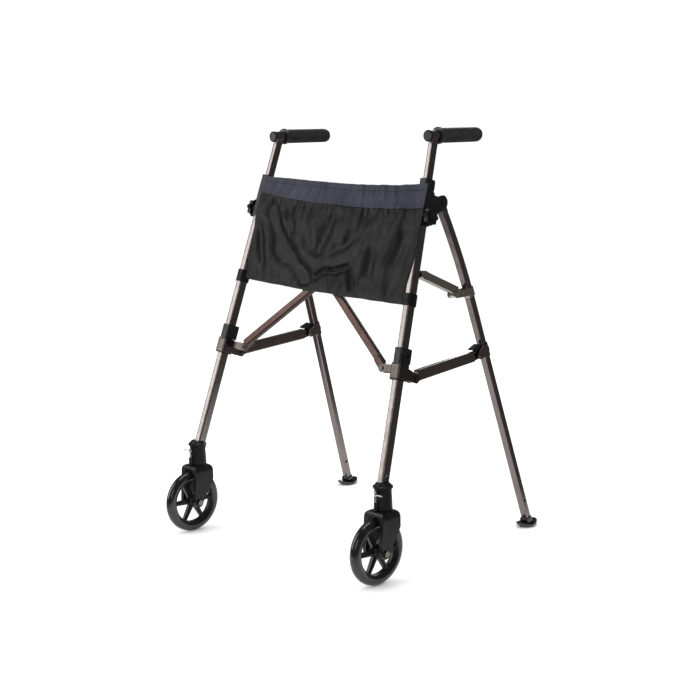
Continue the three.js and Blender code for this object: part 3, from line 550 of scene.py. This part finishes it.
def fold_depth(u, v):
    """How far the cloth stands forward of the line between its edges."""
    pinned = step(1 - abs(u), 0.0, 0.10)
    hang = step(v, 0.0, 0.07) * step(0.86 - v, 0.0, 0.10)
    wander = 0.03 * noise.noise(Vector((u * 3, v * 3, 1.5)))
    valleys = sum(dip(u + wander, v + wander, line) for line in VALLEYS)
    creases = sum(dip(u, v, line) for line in CREASES)
    above = sum(dip(u, v + 0.035, line) for line in CREASES)
    arch = max(0, math.sin(math.pi * min(1, max(0, v * 1.05))))
    belly = 0.0078 * math.sin(math.pi * (0.5 + u * 0.5)) * arch**1.5
    soft = 0.0030 * noise.noise(Vector((u * 4.5 + v * 2, v * 2.4 - u, 2.0)))
    soft += 0.0013 * noise.noise(Vector((u * 14, v * 5 - u * 3, 5.0)))
    soft += 0.0005 * noise.noise(Vector((u * 34, v * 16, 9.0)))
    below_seam = math.exp(-(((v - 0.77) / 0.05) ** 2))
    above_hem = math.exp(-(((v - 0.06) / 0.05) ** 2))
    gather = 0.0009 * math.sin(u * 74 + 5 * noise.noise(Vector((u * 5, 0, 0)))) * below_seam
    gather += 0.0007 * math.sin(u * 60 + 1) * above_hem
    band = 0.0008 * math.sin(u * 52) * step(v, 0.84, 0.93)
    return pinned * (belly + soft + gather + band + hang * (0.5 * above - valleys - creases))


def band_edge(u):
    """Height of the dark blue band's lower edge, as a share of the pouch's."""
    return 0.808 + 0.05 * ((1 - u) / 2) ** 4


def on_pouch(u, v, out=0.0):
    """A point of the pouch's front, in the plane of the front legs."""
    low = 0.642 - 0.012 * u - 0.004 * (1 - u * u) + 0.0016 * noise.noise(Vector((u * 5, 1.0, 0.0)))
    high = 0.9052 - 0.0038 * u - 0.0088 * (1 - u * u) * (1 + 0.6 * u)
    high += 0.001 * noise.noise(Vector((u * 7, 4.0, 0.0)))
    half = 0.2590 + 0.0065 * math.sin(math.pi * min(1, max(0, v - 0.1))) + 0.002 * v
    fold = max(fold_depth(u, v), DEEPEST)
    edge = 0.004 * max(0, math.sin(math.pi * (u + 1) / 2)) ** 0.5 * (1 - v)
    tuck = 0.007 * step(v, 0.8, 1.0) * ((1 - u) / 2) ** 3
    return (u * half + 0.004 + 0.009 * v + tuck, -front_of(v) - edge - fold - out, low + v * (high - low))


def panel(v0, v1, columns, rows, out, thick):
    """A closed cloth panel between two heights of the pouch, each a number or a function of u."""
    verts, faces = [], []
    for layer in (0, 1):
        for j in range(rows + 1):
            for i in range(columns + 1):
                u = 2 * i / columns - 1
                low, high = (end(u) if callable(end) else end for end in (v0, v1))
                verts.append(on_pouch(u, low + (high - low) * j / rows, out - layer * thick))
    stride = columns + 1
    size = stride * (rows + 1)

    def index(i, j, layer):
        return layer * size + j * stride + i

    for j in range(rows):
        for i in range(columns):
            quad = [(i, j), (i + 1, j), (i + 1, j + 1), (i, j + 1)]
            faces.append(tuple(index(a, b, 0) for a, b in quad))
            faces.append(tuple(index(a, b, 1) for a, b in reversed(quad)))
    for i in range(columns):
        for j in (0, rows):
            faces.append((index(i, j, 0), index(i + 1, j, 0), index(i + 1, j, 1), index(i, j, 1)))
    for j in range(rows):
        for i in (0, columns):
            faces.append((index(i, j, 0), index(i, j + 1, 0), index(i, j + 1, 1), index(i, j, 1)))
    return verts, faces


POUCH = []


def fabric(name, shape, material, instead=()):
    obj = piece(name, shape, material, "right_front_leg", PLANE, instead, angle=60)
    POUCH.append(obj)
    return obj


def below_band(by):
    """A height that follows the band's lower edge."""
    return lambda u: band_edge(u) - by


body = fabric("pouch_body", panel(0.0, below_band(-0.03), COLUMNS, ROWS, 0.0, 0.0022), NYLON, ["pouch"])
band = fabric("pouch_band", panel(band_edge, 1.0, COLUMNS, 20, 0.0022, 0.002), SLATE)


def stitches(name, height, out):
    """A row of small raised stitches along one height of the pouch."""
    reach, pitch = 0.97, 0.0045
    count = int(2 * reach * HALF_WIDTH / pitch)
    shapes = []
    for k in range(count):
        u = reach * (2 * (k + 0.5) / count - 1)
        x, y, z = on_pouch(u, height(u) if callable(height) else height, out)
        stitch = prism(rounded(0.0028, 0.0006, 0.00028, 2), -0.0004, 0.0003)
        shapes.append((stitch, at(x, y, z) @ Matrix.Rotation(math.pi / 2, 4, "X")))
    return fabric(name, several(*shapes), THREAD)


hems = [
    fabric("pouch_hem_bottom", panel(-0.004, 0.045, COLUMNS, 4, 0.0012, 0.0046), NYLON),
    stitches("stitch_bottom", 0.047, 0.0014),
]
band_hem = panel(below_band(0.012), below_band(-0.012), COLUMNS, 3, 0.0031, 0.003)
band_hems = [
    fabric("pouch_hem_top", panel(0.955, 1.006, COLUMNS, 4, 0.0034, 0.005), SLATE),
    fabric("pouch_band_hem", band_hem, SLATE),
    stitches("stitch_band", below_band(-0.004), 0.0033),
    stitches("stitch_band_lower", below_band(-0.016), 0.0026),
    stitches("stitch_top", 0.950, 0.0026),
]


def sleeve(w0, w1):
    """A fabric loop that hugs a front leg between two heights, in the leg's frame."""
    verts, faces = [], []
    rows, outline = 14, rounded(0.0222, 0.0292, 0.0058, 4)
    for j in range(rows + 1):
        w = w0 + (w1 - w0) * j / rows
        grow = 1 + 0.035 * math.sin(j * 1.9) * (0.4 + 0.6 * math.sin(math.pi * j / rows))
        for k, (x, y) in enumerate(outline):
            ripple = 1 + 0.02 * noise.noise(Vector((k * 0.7, j * 0.5, w * 40)))
            verts.append((x * grow * ripple, y * grow * ripple, w))
    n = len(outline)
    inner = [(x * 0.9, y * 0.92, w0 if j == 0 else w1) for j in (0, 1) for x, y in outline]
    start = len(verts)
    verts += inner
    for j in range(rows):
        for k in range(n):
            a, b = j * n + k, j * n + (k + 1) % n
            faces.append((a, b, b + n, a + n))
    for k in range(n):
        m = (k + 1) % n
        faces.append((k, m, start + m, start + k))
        faces.append((rows * n + k, rows * n + m, start + n + m, start + n + k))
        faces.append((start + k, start + m, start + n + m, start + n + k))
    return verts, faces


SLEEVE_ENDS = {"right": (0.630, 0.657), "left": (0.646, 0.676)}
for side, flip in SIDES.items():
    loop = sleeve(*SLEEVE_ENDS[side])
    piece(f"{side}_pouch_sleeve", loop, NYLON, f"{side}_front_leg", flip @ LEG)

# ---- Glides: a dished ski with a socket round the rear leg's foot ----
ANKLE = LEG @ Vector((0, 0.574, 0.2079))
SKI_HALF_WIDTH, SKI_HALF_LENGTH, SKI_THICKNESS = 0.0222, 0.0322, 0.0042
REAR_SLOPE = math.radians(17.8)


def ski():
    """An oval plate that curls up at both ends, a ridge along it, and the leg's socket."""
    verts, faces = [], []
    rings, sides = 9, 48
    for layer in (0, 1):
        for j in range(rings + 1):
            t = j / rings
            for k in range(sides):
                a = 2 * math.pi * k / sides
                x, y = SKI_HALF_WIDTH * t * math.cos(a), SKI_HALF_LENGTH * t * math.sin(a)
                curl = 0.0085 * abs(math.sin(a)) ** 1.6 * t**3.2 + 0.0030 * abs(math.cos(a)) * t**4
                rise = SKI_THICKNESS - 0.0014 * (1 - t) + 0.0004 * t if layer else 0.0
                verts.append((x, y, curl + rise))
    size = (rings + 1) * sides
    for j in range(rings):
        for k in range(sides):
            n = (k + 1) % sides
            low = (j * sides + k, j * sides + n, (j + 1) * sides + n, (j + 1) * sides + k)
            faces.append(low[::-1])
            faces.append(tuple(size + i for i in low))
    for k in range(sides):
        n = (k + 1) % sides
        last = rings * sides
        faces.append((last + k, last + n, size + last + n, size + last + k))
    ridge = prism(rounded(0.0060, 0.052, 0.0029, 4), 0.0015, 0.0078)
    lean = Matrix.Rotation(REAR_SLOPE, 4, "X") @ Matrix.Rotation(-LEAN, 4, "Y")
    socket = prism(rounded(0.0236, 0.0236, 0.0045, 5), -0.0095, 0.0105)
    return several((verts, faces), ridge, (socket, at(0, 0, 0.0118) @ lean))


for side, flip in SIDES.items():
    place = flip @ at(ANKLE.x, ANKLE.y - 0.001, 0)
    piece(f"{side}_ski_glide", ski(), RUBBER, f"{side}_rear_leg", place, [f"{side}_glide_foot"], 0.0004, 50)

for obj in POUCH:
    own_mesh(obj)
